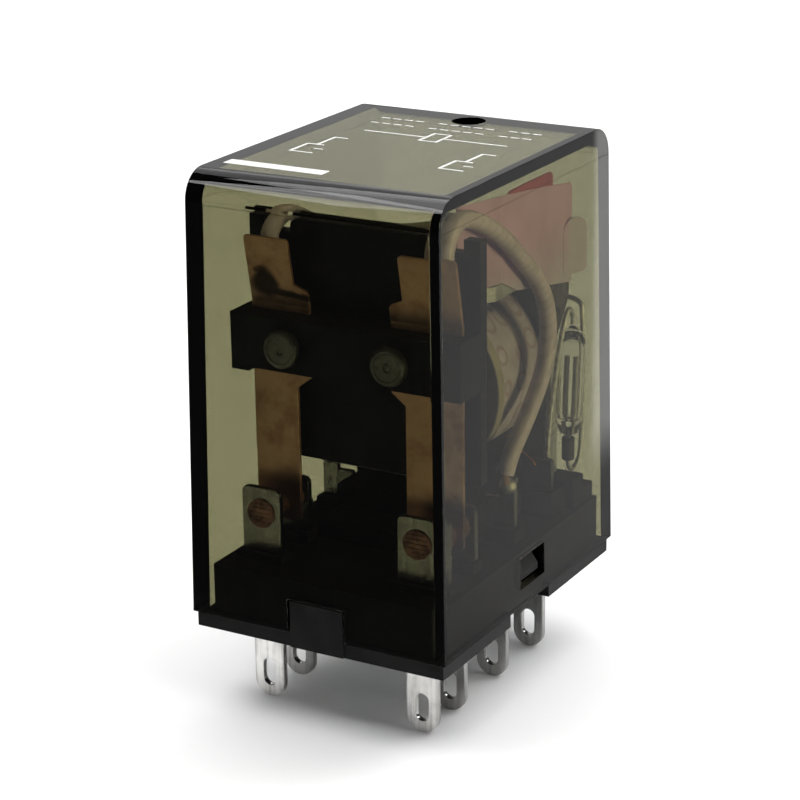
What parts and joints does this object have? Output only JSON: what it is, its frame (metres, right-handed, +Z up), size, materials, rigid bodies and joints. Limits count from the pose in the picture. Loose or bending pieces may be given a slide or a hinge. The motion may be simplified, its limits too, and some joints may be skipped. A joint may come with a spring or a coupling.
{
  "type": "plug-in relay",
  "caption": "Plug-in changeover relay with plug blades, a hinged armature and a smoked clip-on cover.",
  "frame": {"origin": "centre of the base underside, where the relay seats on its socket; the blades reach below it", "axes": "+Z up through the top of the cover, +X across the two poles, +Y from the contacts to the rear of the coil"},
  "size_m": [0.0216, 0.028, 0.0416],
  "materials": {
    "smoked_cover": "smoked transparent plastic",
    "base": "black phenolic moulding",
    "tinned_blade": "tinned brass",
    "contact": "silver alloy and copper",
    "arm": "phosphor bronze strip",
    "card": "black moulding",
    "card_rivet": "plated rivet",
    "armature": "nickel plated iron",
    "yoke": "nickel plated iron",
    "core": "iron",
    "shading_ring": "copper",
    "bobbin": "dark moulding",
    "winding": "enamelled copper wire",
    "coil_tape": "wrapped polyester tape",
    "spring": "spring wire",
    "sleeve": "translucent insulating sleeve",
    "solder": "solder",
    "lamp_glass": "clear glass",
    "bare_wire": "tinned wire",
    "black_sleeve": "black sleeve",
    "resistor": "painted body",
    "film": "red insulating film"
  },
  "bodies": {
    "base": {"cover": "smoked_cover", "base": "base", "nc_blade_left": "tinned_blade", "nc_blade_right": "tinned_blade", "no_blade_left": "tinned_blade", "no_blade_right": "tinned_blade", "com_blade_left": "tinned_blade", "com_blade_right": "tinned_blade", "coil_blade_left": "tinned_blade", "coil_blade_right": "tinned_blade", "nc_contact_left": "contact", "nc_contact_right": "contact", "no_contact_left": "contact", "no_contact_right": "contact", "yoke": "yoke", "core": "core", "shading_ring": "shading_ring", "bobbin": "bobbin", "winding": "winding", "coil_tape": "coil_tape", "return_spring": "spring", "sleeve_left": "sleeve", "sleeve_right": "sleeve", "com_solder_left": "solder", "com_solder_right": "solder", "lamp": "lamp_glass", "lamp_feed": "bare_wire", "lamp_return": "bare_wire", "lamp_collar": "black_sleeve", "resistor": "resistor", "resistor_lead": "bare_wire", "film": "film"},
    "armature": {"moving_contact_left": "contact", "moving_contact_right": "contact", "arm_left": "arm", "arm_right": "arm", "card": "card", "card_rivet_left": "card_rivet", "card_rivet_right": "card_rivet", "armature": "armature", "arm_solder_left": "solder", "arm_solder_right": "solder"}
  },
  "joints": [
    {"name": "armature_hinge", "type": "hinge", "parent": "base", "child": "armature", "pos_m": [0, -0.0021, 0.02455], "axis": [1, 0, 0], "range_deg": [0, 2.5], "stiffness_Nm_per_rad": 0.02, "springref_deg": -17.19, "deforming": ["return_spring", "sleeve_left", "sleeve_right"]}
  ]
}
